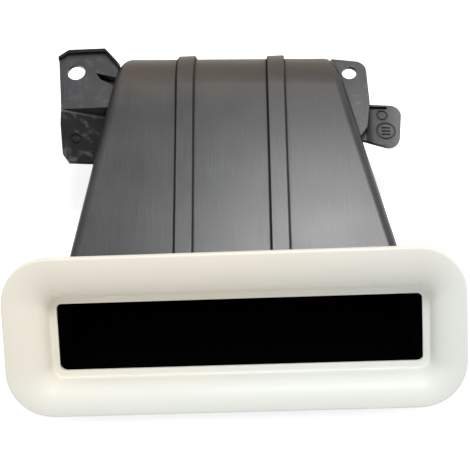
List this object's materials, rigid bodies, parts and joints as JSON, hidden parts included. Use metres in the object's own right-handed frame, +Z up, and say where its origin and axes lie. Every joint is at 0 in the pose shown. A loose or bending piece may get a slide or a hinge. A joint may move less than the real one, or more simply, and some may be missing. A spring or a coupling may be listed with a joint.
{
  "type": "air intake vent",
  "caption": "Car air intake vent: a flared, painted bezel round a wide slot, snapped into a tapering moulded duct with a rolled rear, side fixing ears and an outlet in its base.",
  "frame": {"origin": "middle of the part's box at its base, which is the plane of the duct's outlet", "axes": "+X across the vent to the right seen from the intake, +Y from the intake to the rear, +Z up out of the roof"},
  "size_m": [0.3, 0.2736, 0.0849],
  "materials": {
    "bezel_paint": "cream painted plastic, semi-gloss",
    "duct_plastic": "dark grey moulded plastic, satin"
  },
  "bodies": {
    "root": {"bezel": "bezel_paint", "air_duct": "duct_plastic"}
  },
  "joints": []
}
